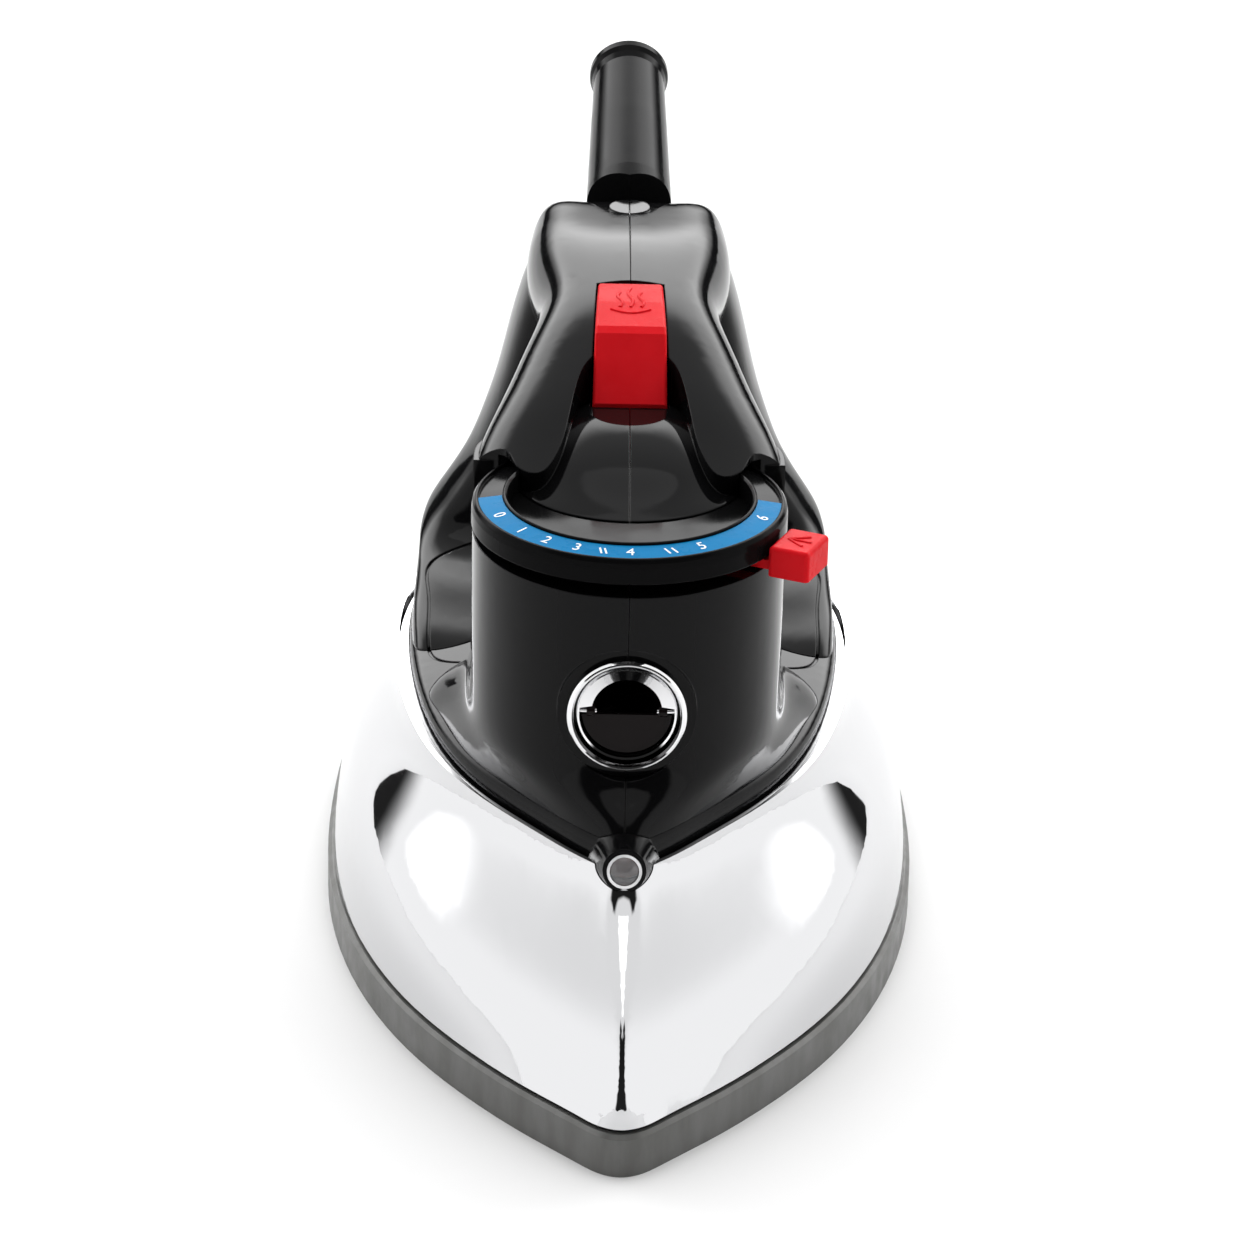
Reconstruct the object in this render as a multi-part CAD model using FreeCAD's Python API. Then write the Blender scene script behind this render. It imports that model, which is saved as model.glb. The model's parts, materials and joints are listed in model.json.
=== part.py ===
"""Steam iron with a chrome body, a two-part handle, a temperature lever and a steam button.

Millimetres. +Z is up, the tip points to -Y, and the origin is the middle of the ironing face.
"""
import FreeCAD, Part
import math
import os

V = FreeCAD.Vector
UP = V(0, 0, 1)

# ---- driving dimensions -------------------------------------------------------------------
SOLE_HALF_LENGTH = 104.5
SOLE_HEIGHT = 8.5
SOLE_BEVEL = 0.8
# half outline of the soleplate, from the tip to the middle of the back: (y, half width)
SOLE_OUTLINE = [(-104.5, 0), (-103.4, 3.5), (-99.6, 7.7), (-89.4, 17.3), (-75.5, 28.6), (-59.5, 39.1),
                (-41, 47.9), (-18, 55), (8, 59), (34, 59.6), (60, 58.3), (82, 54.8), (97, 47),
                (103.6, 34), (104.5, 0)]
# half outline of the rim where the chrome body meets the black skirt
RIM_OUTLINE = [(-70, 0), (-69.4, 2.2), (-67.8, 3.8), (-62.5, 8.6), (-53, 16.3), (-40, 26),
               (-24, 35.2), (-6, 41.4), (16, 45.4), (39, 47.1), (60, 45.8), (77, 41), (88, 33),
               (93.6, 21), (95, 0)]
GASKET_HEIGHT = 0.8
SHELL_BASE = SOLE_HEIGHT + GASKET_HEIGHT
SHELL_TOP = 45.3
SHELL_WALL = 1.2
SHELL_INSET = 1.2
# how the body closes in from its foot (0) to its rim (1), against height
SHELL_PROFILE = [(0, 9.3), (0.03, 14), (0.12, 20.5), (0.3, 27), (0.55, 32.5), (0.8, 38),
                 (0.95, 42.4), (1, 45.3)]
# how much narrower the body is beside its front ridge, from the ridge outwards
RIDGE_SHARPNESS = (0.6, 0.36, 0.16, 0.07, 0.03, 0.01)

DIAL_Y = -25.0
DIAL_RADIUS = 30.2
SLOT_BASE = 95.0
DIAL_BASE = 98.0
DIAL_FLOOR = 99.6
DIAL_BACK = -7.4
LEVER_ANGLE = 66.0

HANDLE_WALL = 2.4
SEAM_GAP = 0.06
SKIRT_BASE = 43.8

BUTTON_BACK = 40.2
ROD_Y = -2.0

FILL_HEIGHT = 71.0

GUARD_PIVOT = V(0, 84, 115)
GUARD_TILT = 12.0
GUARD_MOUTH_RADIUS = 4.6

os.makedirs("parts", exist_ok=True)


# ---- shape helpers ------------------------------------------------------------------------
def inset(half, distance):
    """Half outline drawn in towards its middle, by a distance at its ends and its widest."""
    middle = (half[0][0] + half[-1][0]) / 2
    along = 1 - distance / abs(half[-1][0] - middle)
    across = 1 - distance / max(w for u, w in half)
    return [(middle + (u - middle) * along, w * across) for u, w in half]


def blend(first, second, share):
    """Half outline part of the way from one outline to another with as many points."""
    return [(a[0] + share * (b[0] - a[0]), a[1] + share * (b[1] - a[1]))
            for a, b in zip(first, second)]


def extended(half):
    """Half outline with three mirrored points beyond each end, to keep it square to its middle."""
    return [(u, -w) for u, w in half[3:0:-1]] + half + [(u, -w) for u, w in half[-2:-5:-1]]


def chord_knots(half):
    knots = [0.0]
    points = extended(half)
    for before, after in zip(points, points[1:]):
        knots.append(knots[-1] + math.dist(before, after))
    return knots


def section_curve(half, place, knots):
    """Smooth curve along one side of a section; place turns (u, w) into a point."""
    curve = Part.BSplineCurve()
    curve.interpolate(Points=[place(u, w) for u, w in extended(half)], Parameters=knots)
    curve.segment(knots[3], knots[-4])
    return curve


def on_level(z):
    return lambda u, w: V(w, u, z)


def on_station(y):
    return lambda u, w: V(w, y, u)


def both_sides(curve):
    """Closed wire of a curve that ends on the middle plane, and its mirror image."""
    right = curve.toShape()
    return Part.Wire([right, mirrored(right)])


def level_wire(half, z):
    return both_sides(section_curve(half, on_level(z), chord_knots(half)))


def smooth_loft(sections):
    """Solid skinned through (half outline, place) sections, with a flat cap at each end."""
    count = len(sections)
    mean = [(sum(p[0] for p in column) / count, sum(p[1] for p in column) / count)
            for column in zip(*[half for half, place in sections])]
    knots = chord_knots(mean)
    curves = [section_curve(half, place, knots) for half, place in sections]
    rows = [curve.getPoles() for curve in curves]
    stations = [0.0]
    for before, after in zip(rows, rows[1:]):
        steps = [(b - a).Length for a, b in zip(before, after)]
        stations.append(stations[-1] + sum(steps) / len(steps))
    lines = []
    for column in zip(*rows):
        line = Part.BSplineCurve()
        line.interpolate(Points=list(column), Parameters=stations)
        lines.append(line)
    surface = Part.BSplineSurface()
    surface.buildFromPolesMultsKnots([line.getPoles() for line in lines],
                                     curves[0].getMultiplicities(), lines[0].getMultiplicities(),
                                     curves[0].getKnots(), lines[0].getKnots(), False, False,
                                     curves[0].Degree, lines[0].Degree)
    side = surface.toShape()
    caps = [Part.Face(both_sides(surface.vIso(station))) for station in (stations[0], stations[-1])]
    shell = Part.makeShell([side, mirrored(side)] + caps)
    shell.sewShape()
    solid = Part.makeSolid(shell)
    if solid.Volume < 0:
        solid.reverse()
    return solid


def loft_levels(levels):
    return smooth_loft([(half, on_level(z)) for half, z in levels])


def slab(half, low, high):
    """Flat plate with the given half outline."""
    return Part.Face(level_wire(half, low)).extrude(V(0, 0, high - low))


def rod(radius, start, end):
    start = V(*start)
    along = V(*end) - start
    return Part.makeCylinder(radius, along.Length, start, along)


def tube(outer, inner, start, end):
    return rod(outer, start, end).cut(rod(inner, start, end))


def box(low, high):
    return Part.makeBox(high[0] - low[0], high[1] - low[1], high[2] - low[2], V(*low))


def polygon_wire(points):
    return Part.makePolygon([V(*p) for p in points] + [V(*points[0])])


def revolved(profile, angle=360):
    """Ring turned about the dial axis from (radius, z) points."""
    face = Part.Face(polygon_wire([(r, DIAL_Y, z) for r, z in profile]))
    return face.revolve(V(0, DIAL_Y, 0), UP, angle)


def fused(shapes):
    return shapes[0].fuse(shapes[1:])


def carved(body, cuts):
    """Body with each cut taken out in turn."""
    for cut in cuts:
        body = body.cut(cut)
    return body


def path_point(distance):
    """Point on the centre line of the cord guard, measured from its pivot."""
    tilt = math.radians(GUARD_TILT)
    return GUARD_PIVOT + V(0, math.cos(tilt), math.sin(tilt)) * distance


def mirrored(shape):
    return shape.mirror(V(0, 0, 0), V(1, 0, 0))


def group(shapes):
    return Part.makeCompound(shapes)


def export(name, shape):
    shape.exportStep(os.path.join("parts", name + ".step"))


# ---- base: soleplate, chrome body and what they hold ----------------------------------------
PORT_RADIUS = 1.6
CHAMBER_DEPTH = 3.0
ELEMENT_RADIUS = 3.2


def make_soleplate():
    bevelled = inset(SOLE_OUTLINE, SOLE_BEVEL)
    body = slab(SOLE_OUTLINE, 0, SOLE_HEIGHT - SOLE_BEVEL)
    top = Part.makeLoft([level_wire(SOLE_OUTLINE, SOLE_HEIGHT - SOLE_BEVEL),
                         level_wire(bevelled, SOLE_HEIGHT)], True, True)
    body = body.fuse(top)
    chamber = slab(inset(SOLE_OUTLINE, 19), SOLE_HEIGHT - CHAMBER_DEPTH, SOLE_HEIGHT + 1)
    body = body.cut(chamber)
    body = body.cut(element_solid(ELEMENT_RADIUS + 0.05))
    ports = [Part.makeCylinder(PORT_RADIUS, SOLE_HEIGHT, V(0, -68, -1))]
    for y, w in inset(SOLE_OUTLINE, 24)[3:11]:
        for side in (-1, 1):
            ports.append(Part.makeCylinder(PORT_RADIUS, SOLE_HEIGHT, V(side * w, y, -1)))
    body = body.cut(group(ports))
    return body.cut(group(stud_holes(2.5, 4, SOLE_HEIGHT + 1)))


def element_path():
    half = inset(SOLE_OUTLINE, 12.5)
    return [p for p in half if p[0] < 84]


def element_solid(radius):
    points = element_path()
    right = [V(w, y, SOLE_HEIGHT) for y, w in points]
    left = [V(-w, y, SOLE_HEIGHT) for y, w in points[1:]]
    curve = Part.BSplineCurve()
    curve.interpolate(left[::-1] + right)
    path = Part.Wire([curve.toShape()])
    start = path.Edges[0]
    tangent = start.tangentAt(start.FirstParameter)
    section = Part.Wire([Part.makeCircle(radius, left[-1], tangent)])
    return path.makePipeShell([section], True, False)


STUD_PLACES = [(-32, 20), (32, 20), (0, 72)]


def stud_holes(radius, low, high):
    return [Part.makeCylinder(radius, high - low, V(x, y, low)) for x, y in STUD_PLACES]


def shell_outline(share):
    foot = inset(SOLE_OUTLINE, SHELL_INSET)
    half = blend(foot, RIM_OUTLINE, share)
    bump = math.sin(math.pi * math.sqrt(share))
    for i, amount in enumerate(RIDGE_SHARPNESS):
        y, w = half[i + 1]
        half[i + 1] = (y, w * (1 - amount * bump))
    return half


def shell_volume(thickness, low=0.0, high=0.0):
    """Volume inside the chrome body, less a wall; low and high run past its ends."""
    levels = []
    for share, z in SHELL_PROFILE:
        levels.append((inset(shell_outline(share), thickness), z))
    solid = loft_levels(levels)
    if low:
        solid = solid.fuse(slab(levels[0][0], SHELL_BASE - low, SHELL_BASE))
    if high:
        solid = solid.fuse(slab(levels[-1][0], SHELL_TOP, SHELL_TOP + high))
    return solid


def make_chrome_shell():
    outer = shell_volume(0)
    inner = shell_volume(SHELL_WALL)
    flange = slab(inset(RIM_OUTLINE, SHELL_WALL - 0.3), SKIRT_BASE - 1.3, SKIRT_BASE)
    flange = flange.cut(slab(inset(RIM_OUTLINE, 8), SKIRT_BASE - 2, SKIRT_BASE + 1))
    body = outer.cut(inner).fuse(flange)
    pilot = rod(3.4, pilot_place(-3), pilot_place(12))
    return carved(body, [pilot_hood(0.1), pilot])


PILOT_BACK = V(0, -59.5, 43.8)
PILOT_FRONT = V(0, -70.4, 46.3)
PILOT_FLOOR = 42.3
LENS_DOME = 4.0


def pilot_hood(gap):
    """Short tapered snout on the front of the skirt that holds the pilot window."""
    along = PILOT_FRONT - PILOT_BACK
    hood = Part.makeCone(7.2 + gap, 4.1 + gap, along.Length + gap, PILOT_BACK, along)
    return hood.common(box((-20, -90, PILOT_FLOOR - gap), (20, 0, 80)))


def pilot_place(distance):
    along = PILOT_FRONT - PILOT_BACK
    return PILOT_FRONT - along * (distance / along.Length)


def make_pilot():
    front = pilot_place(-0.8)
    export("pilot_bezel", rod(3.3, front, pilot_place(4)).cut(rod(2.75, front, pilot_place(5))))
    window = rod(2.7, pilot_place(-2), pilot_place(4)).fuse(rod(3.3, pilot_place(4), pilot_place(5)))
    dome = Part.makeSphere(LENS_DOME, pilot_place(LENS_DOME - 1.6))
    export("pilot_lens", window.common(dome.fuse(rod(4, pilot_place(2), pilot_place(6)))))
    export("neon_lamp", rod(1.5, pilot_place(5.5), pilot_place(10)))


def make_shell_gasket():
    foot = inset(SOLE_OUTLINE, SHELL_INSET)
    ring = slab(inset(foot, 0.8), SOLE_HEIGHT, SHELL_BASE)
    return ring.cut(slab(inset(foot, 5), SOLE_HEIGHT - 1, SHELL_BASE + 1))


STEAM_PLATE = 1.4


def make_steam_chamber_cover():
    plate = slab(inset(SOLE_OUTLINE, 18), SOLE_HEIGHT, SOLE_HEIGHT + STEAM_PLATE)
    holes = stud_holes(3.2, SOLE_HEIGHT - 1, SOLE_HEIGHT + 3)
    holes.append(Part.makeCylinder(2.6, 4, V(0, ROD_Y, SOLE_HEIGHT - 1)))
    return plate.cut(group(holes))


SHIELD_BASE = 15.0
TANK_BASE = 17.5
TANK_TOP = 38.0
TANK_WALL = 1.5
SHAFT_RADIUS = 2.5


def make_heat_shield():
    plate = slab(inset(RIM_OUTLINE, 5.5), SHIELD_BASE, SHIELD_BASE + 0.8)
    holes = stud_holes(3.2, SHIELD_BASE - 1, SHIELD_BASE + 3)
    holes.append(Part.makeCylinder(13, 4, V(0, DIAL_Y, SHIELD_BASE - 1)))
    holes.append(Part.makeCylinder(5.2, 4, V(0, ROD_Y, SHIELD_BASE - 1)))
    holes.append(box((-22, 57, SHIELD_BASE - 1), (22, 90, SHIELD_BASE + 3)))
    return plate.cut(group(holes))


FILL_PIPE_RADIUS = 6.5
FILL_FOOT = V(0, -45, 0)


def make_water_tank():
    outer = slab(inset(RIM_OUTLINE, 7), TANK_BASE, TANK_TOP)
    outer = outer.cut(box((-60, 50, TANK_BASE - 1), (60, 120, TANK_TOP + 1)))
    inner = slab(inset(RIM_OUTLINE, 7 + TANK_WALL), TANK_BASE + TANK_WALL, TANK_TOP - TANK_WALL)
    inner = inner.cut(box((-60, 50 - TANK_WALL, 0), (60, 120, 60)))
    wells = [Part.makeCylinder(8.5, 30, V(0, DIAL_Y, TANK_BASE - 1))]
    wells += stud_holes(6, TANK_BASE - 1, TANK_TOP + 1)
    body = outer.cut(inner.cut(group(wells)))
    holes = [Part.makeCylinder(7, 40, V(0, DIAL_Y, TANK_BASE - 1))]
    holes += stud_holes(4.5, TANK_BASE - 1, TANK_TOP + 1)
    holes.append(Part.makeCylinder(3.5, 10, V(0, ROD_Y, TANK_TOP - 5)))
    holes.append(Part.makeCylinder(3.55, 5, V(0, ROD_Y, TANK_BASE - 1)))
    holes.append(Part.makeCylinder(FILL_PIPE_RADIUS + 0.05, 10, V(0, FILL_FOOT.y, TANK_TOP - 5)))
    return body.cut(group(holes))


def make_valve_body():
    low = SOLE_HEIGHT + STEAM_PLATE
    body = fused([Part.makeCylinder(4.5, TANK_BASE - low, V(0, ROD_Y, low)),
                  Part.makeCylinder(3.5, TANK_BASE + 3 - low, V(0, ROD_Y, low)),
                  Part.makeCylinder(2.5, STEAM_PLATE + 1, V(0, ROD_Y, low - STEAM_PLATE - 1))])
    return body.cut(Part.makeCylinder(1.1, 30, V(0, ROD_Y, low - 5)))


def make_rod_seal():
    return tube(3.5, 1.55, (0, ROD_Y, TANK_TOP - TANK_WALL), (0, ROD_Y, TANK_TOP + 1))


# ---- thermostat -----------------------------------------------------------------------------
def make_thermostat():
    low = SOLE_HEIGHT + STEAM_PLATE
    body = box((-11, DIAL_Y - 6, low), (11, DIAL_Y + 6, low + 4))
    body = body.cut(Part.makeCylinder(3.9, 20, V(0, DIAL_Y, low - 1)))
    export("thermostat_body", body)
    bush = tube(3.85, SHAFT_RADIUS + 0.05, (0, DIAL_Y, low), (0, DIAL_Y, low + 12))
    bush = bush.fuse(tube(6, 3.5, (0, DIAL_Y, low + 4.2), (0, DIAL_Y, low + 6)))
    export("thermostat_bush", bush)
    blade = box((-9, DIAL_Y + 6.4, low + 1), (9, DIAL_Y + 12, low + 1.6))
    blade = blade.fuse(box((-9, DIAL_Y + 5, low + 4), (-4, DIAL_Y + 12, low + 4.6)))
    blade = blade.fuse(box((-9, DIAL_Y + 11.4, low + 1), (-4, DIAL_Y + 12, low + 4.6)))
    export("bimetal_blade", blade)
    shaft = rod(SHAFT_RADIUS, (0, DIAL_Y, low + 3), (0, DIAL_Y, SLOT_BASE + 2.2))
    export("thermostat_shaft", shaft)


# ---- skirt and handle -------------------------------------------------------------------------
SKIRT_LEVELS = [(3.0, 43.8), (3.2, 46.4), (3.9, 48), (6, 49), (11, 49.9), (19, 51), (28, 51.5)]
# foot of the front column, a bowl that follows the rim, and its section higher up
BOWL_INSET = 4.6
COLUMN_FOOT = inset(RIM_OUTLINE, BOWL_INSET)[:8] + [(4, 39.6), (10, 36), (12, 26), (12.4, 0)]
COLUMN_TOP = [(-54.4, 0), (-54.2, 3.4), (-53.4, 7.6), (-50.6, 14), (-45.6, 20.4), (-38, 26),
              (-29, 29.2), (-18, 30.2), (-8, 30.2), (2, 29.2), (7.6, 23), (8.2, 0)]
COLUMN_FLARE = [(0, 44.5), (0.05, 47.5), (0.16, 50), (0.36, 52.6), (0.6, 54.8), (0.82, 57),
                (0.95, 59.8), (1, 64), (1, 70), (1, 86), (1, 104)]
# rear leg: (z, half width, front y, back y)
LEG_LEVELS = [(46, 42.6, 13, 92.2), (50, 42.5, 20, 93), (52, 42.3, 32, 93.2), (54, 42, 46, 93.4),
              (56, 41.6, 59, 93.5), (58.6, 40.3, 63.6, 93.6), (63, 37.4, 65.4, 93.6),
              (70, 32.9, 67.5, 93.4), (78, 29.6, 68.6, 93.2), (86, 27.1, 68.4, 93),
              (95, 25, 67.4, 92.8), (104, 22.9, 66, 92.6), (112, 20.4, 65, 92.4)]
# grip: (y, half width, top z, z of the widest line, under z, how square its top is)
GRIP_STATIONS = [(92.8, 17.8, 120.2, 111, 97, 1), (91.7, 19.2, 121.3, 111.5, 96, 1),
                 (89.5, 20, 121.9, 112, 95, 1), (85, 20.6, 122.4, 112.2, 93, 0.9),
                 (76, 21, 123.2, 112.5, 91, 0.7), (62, 19.9, 124, 112.8, 95.5, 0.4),
                 (45, 18.4, 123.2, 112, 97.5, 0.2), (30, 20.9, 121.3, 110.5, 95.5, 0),
                 (15.6, 25, 117.4, 106, 89, 0), (0, 29.2, 112, 102.4, 83, 0),
                 (-8, 30.4, 108.8, 101, 83, 0), (-20, 31, 104.4, 99.4, 83, 0)]
# front edge of the two wings of the grip, from the middle out: (x, y)
WING_EDGE = [(0, 15.5), (7, 15.2), (10.3, 8), (12.2, -4), (14.4, -12.5), (17.8, -16.8),
             (21.4, -14.5), (24.4, -8.2), (27, -7.2), (34, -7.2)]
# nose under the wings: (z, radius, centre y)
NOSE_LEVELS = [(99.75, 22.8, -6.5), (101, 20.5, -5.4), (102.6, 18, -3.8), (104.6, 15.6, -1.6),
               (106.6, 13, 1.6), (108, 10.2, 4.4), (108.6, 8, 6)]


def column_volume(thickness, low, high):
    levels = []
    for share, z in COLUMN_FLARE:
        levels.append((inset(blend(COLUMN_FOOT, COLUMN_TOP, share), thickness), z))
    solid = loft_levels(levels)
    return solid.common(box((-60, -90, low), (60, 90, high)))


def leg_half(width, front, back, z):
    taper = min(max((z - 46) / 30, 0), 1)
    corner = 0.72 + 0.16 * taper
    return [(front, 0), (front + 0.4, width * 0.62), (front + 4, width * 0.93),
            (front + 11, width), ((front + back) / 2 + 6, width * (0.96 + 0.03 * taper)),
            (back - 4.5, width * corner), (back - 0.8, width * (corner - 0.18)), (back, 0)]


def leg_volume(thickness, low, high):
    levels = []
    for z, width, front, back in LEG_LEVELS:
        half = leg_half(width, front, back, z)
        levels.append((inset(half, thickness), z))
    return loft_levels(levels).common(box((-60, 0, low), (60, 120, high)))


def grip_half(width, top, side, under, square):
    """Half section of the grip, whose top goes from round at 0 to nearly flat at 1."""
    crown = top - side
    belly = side - under
    return [(top, 0), (top - (0.10 - 0.08 * square) * crown, (0.42 + 0.06 * square) * width),
            (top - (0.36 - 0.23 * square) * crown, (0.78 + 0.07 * square) * width),
            (side + (0.22 + 0.12 * square) * crown, (0.965 + 0.015 * square) * width),
            (side - 0.12 * belly, width), (side - 0.5 * belly, 0.90 * width),
            (under + 0.14 * belly, 0.62 * width), (under, 0)]


def grip_volume(thickness, front, back):
    sections = [(inset(grip_half(*section), thickness), on_station(y))
                for y, *section in GRIP_STATIONS]
    solid = smooth_loft(sections)
    return solid.common(box((-60, front, 60), (60, back, 140)))


def nose_volume():
    wires = []
    for z, radius, y in NOSE_LEVELS:
        wires.append(Part.Wire([Part.makeCircle(radius, V(0, y, z))]))
    return Part.makeLoft(wires, True, False)


def wing_cutter():
    """Everything above the dial and ahead of the front edge of the wings."""
    curve = Part.BSplineCurve()
    right = [V(x, y, 70) for x, y in WING_EDGE[1:]]
    left = [V(-x, y, 70) for x, y in WING_EDGE[1:]]
    curve.interpolate(left[::-1] + right)
    ends = Part.makePolygon([V(34, WING_EDGE[-1][1], 70), V(34, -40, 70), V(-34, -40, 70),
                             V(-34, WING_EDGE[-1][1], 70)])
    face = Part.Face(Part.Wire([curve.toShape()] + ends.Edges))
    return face.extrude(V(0, 0, 60))


def skirt_volume(drop=0.0, margin=0.0):
    """Domed skirt, lowered by a drop and drawn in by a margin."""
    return loft_levels([(inset(RIM_OUTLINE, distance + margin), z - drop)
                        for distance, z in SKIRT_LEVELS])


# outline of the panel in the saddle under the grip, marked by a narrow groove
PANEL_OUTLINE = [(12.8, 0), (13.2, 30), (16, 37.2), (26, 39.9), (44, 40.4), (56, 39.6), (60.3, 34), (61, 0)]
GROOVE_WIDTH = 0.6
GROOVE_DEPTH = 0.45


def panel_groove(lowered):
    """Groove round the panel, down to a surface that lies lower than the saddle."""
    ring = slab(PANEL_OUTLINE, 44, 60).cut(slab(inset(PANEL_OUTLINE, GROOVE_WIDTH), 43, 61))
    return ring.cut(lowered)


def make_skirt():
    inside = skirt_volume(2.0, 2.2)
    body = skirt_volume().cut(inside)
    body = body.fuse(pilot_hood(0).cut(inside))
    bore = rod(3.35, pilot_place(-8), pilot_place(12))
    return carved(body, [column_volume(3.0, 40, 60), leg_volume(3.0, 40, 60), bore,
                         panel_groove(skirt_volume(GROOVE_DEPTH))])


def dial_room():
    """Space that the dial and its lever take out of the front of the handle."""
    front = box((-40, -70, 80), (40, DIAL_BACK, 130))
    slot = Part.makeCylinder(DIAL_RADIUS + 0.5, DIAL_FLOOR + 0.15 - SLOT_BASE,
                             V(0, DIAL_Y, SLOT_BASE))
    ring = tube(DIAL_RADIUS + 0.5, 23.2, (0, DIAL_Y, SLOT_BASE), (0, DIAL_Y, 104.3))
    return slot.fuse(ring).common(front)


BUTTON_LOW = 104.0
BUTTON_TRAVEL = 3.0
ROOM_FLOOR = BUTTON_LOW - BUTTON_TRAVEL - 2.8


def button_room(gap):
    """Slot that the steam button slides in, wider than the button by a gap."""
    outline = [(7.35 + gap, 7.6 - gap), (6.45 + gap, BUTTON_BACK + gap)]
    points = [(x, y, ROOM_FLOOR) for x, y in outline] + [(-x, y, ROOM_FLOOR) for x, y in outline[::-1]]
    return Part.Face(polygon_wire(points)).extrude(V(0, 0, 40))


# the wings of the grip are solid ahead of this y, and the grip is hollow behind it
GRIP_CAVITY_FRONT = 14.0
RISER_FLOOR = 96.4


def handle_cavity():
    """Hollow inside the handle, from the skirt to the grip."""
    front = column_volume(HANDLE_WALL, 40, SLOT_BASE - HANDLE_WALL)
    riser = column_volume(HANDLE_WALL, 85, RISER_FLOOR)
    riser = riser.common(box((-40, DIAL_BACK + HANDLE_WALL, 80), (40, 40, 130)))
    rear = leg_volume(HANDLE_WALL, 40, 112)
    rear.translate(V(0, 0, -HANDLE_WALL))
    grip = grip_volume(HANDLE_WALL, GRIP_CAVITY_FRONT, 90)
    return fused([front, riser, rear, grip])


# screw posts inside the front column: (x, y)
POST_PLACES = [(-24.3, -8), (24.3, -8)]
HEEL_SCREWS = [(-11, 58), (11, 58), (-11, 98), (11, 98)]
LAND_Y = -53.6


def fill_cylinder(radius, near, far):
    """Cylinder on the axis of the fill opening between two y values."""
    return rod(radius, (0, near, FILL_HEIGHT), (0, far, FILL_HEIGHT))


def handle_outside():
    grip = grip_volume(0, -30, 93).cut(wing_cutter())
    riser = column_volume(0, 90, 103).common(box((-40, DIAL_BACK, 80), (40, 40, 130)))
    return fused([column_volume(0, 40, SLOT_BASE), riser, leg_volume(0, 40, 111), grip, nose_volume()])


def handle_inserts():
    """Screw posts, the bosses and shelf of the guard pin, and the land of the fill ring."""
    pivot = GUARD_PIVOT
    posts = [rod(4, (x, y, 46), (x, y, 66)) for x, y in POST_PLACES]
    bosses = [rod(4.2, (0, pivot.y, z), (0, pivot.y, z + size))
              for z, size in ((pivot.z - 9, 5), (pivot.z + 3.6, 4.4))]
    shelf = box((-21, pivot.y - 4, pivot.z - 9), (21, pivot.y + 8, pivot.z - 6))
    return [fill_cylinder(13.2, LAND_Y, -48), shelf.common(grip_volume(1, -30, 92))] + posts + bosses


def handle_cuts():
    pivot = GUARD_PIVOT
    lowered = leg_volume(0, 40, 111)
    lowered.translate(V(0, 0, -GROOVE_DEPTH))
    cuts = [skirt_volume(), box((-60, -90, 30), (60, 110, SKIRT_BASE + 0.5)), dial_room(),
            button_room(0.35), fill_cylinder(9.7, -70, -38), fill_cylinder(10.6, -70, -51.8),
            rod(FILL_PIPE_RADIUS + 0.1, (0, FILL_FOOT.y, 40), (0, FILL_FOOT.y, FILL_HEIGHT)),
            rod(SHAFT_RADIUS + 0.4, (0, DIAL_Y, 80), (0, DIAL_Y, SLOT_BASE + 1)),
            box((-3.6, ROD_Y - 3.6, ROOM_FLOOR), (3.6, 10, BUTTON_LOW + 1.2)),
            rod(2.1, (0, ROD_Y, 90), (0, ROD_Y, ROOM_FLOOR + 1)),
            rod(1.52, (0, pivot.y, pivot.z - 7), (0, pivot.y, pivot.z + 6.5)),
            box((-11.6, pivot.y + 3, pivot.z - 3.9), (11.6, 96, pivot.z + 3.5)),
            pilot_hood(0), panel_groove(lowered)]
    cuts += [rod(2.0, (x, y, 40), (x, y, 62)) for x, y in POST_PLACES]
    cuts += [rod(1.5, (x, 85, z), (x, 99, z)) for x, z in HEEL_SCREWS]
    return cuts


def make_handle():
    body = handle_outside().cut(handle_cavity())
    body = body.cut(fill_cylinder(13.2, -70, LAND_Y))
    body = carved(body.fuse(handle_inserts()), handle_cuts())
    for side, name in ((-1, "handle_left"), (1, "handle_right")):
        low = min(side * SEAM_GAP, side * 70)
        half = body.common(box((low, -100, 0), (low + 70 - SEAM_GAP, 120, 200)))
        solids = sorted(half.Solids, key=lambda piece: piece.Volume)
        print(name, [round(solid.Volume) for solid in solids], solids[-1].isValid())
        export(name, solids[-1])


# ---- dial, scale and lever -----------------------------------------------------------------------
SCALE_INNER = 24.4
SCALE_OUTER = 28.9
LEVER_THICKNESS = 1.8
TAB_INNER = 30.8
TAB_OUTER = 39.0
TAB_HALF = 5.5
TAB_LOW = 94.9
TAB_TOP = 100.8


def make_dial():
    rim = revolved([(23.4, DIAL_FLOOR - 0.1), (23.4, 103.6), (23.9, 104), (24.25, 103.8),
                    (24.25, 102.9), (29.05, 102.2), (29.05, 103), (29.5, 102.9), (30, 102.2),
                    (30.2, 101), (30.2, DIAL_BASE), (23.4, DIAL_BASE)])
    floor = Part.makeCylinder(23.6, DIAL_FLOOR - DIAL_BASE, V(0, DIAL_Y, DIAL_BASE))
    body = rim.fuse(floor).common(box((-40, -70, 80), (40, DIAL_BACK - 0.15, 130)))
    export("dial_housing", body)
    plate = revolved([(SCALE_INNER, 102.95), (SCALE_OUTER, 102.3), (SCALE_OUTER, 102.85),
                      (SCALE_INNER, 103.5)])
    plate = plate.common(box((-40, -70, 80), (40, DIAL_Y - 1, 130)))
    export("scale_plate", plate)


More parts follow.
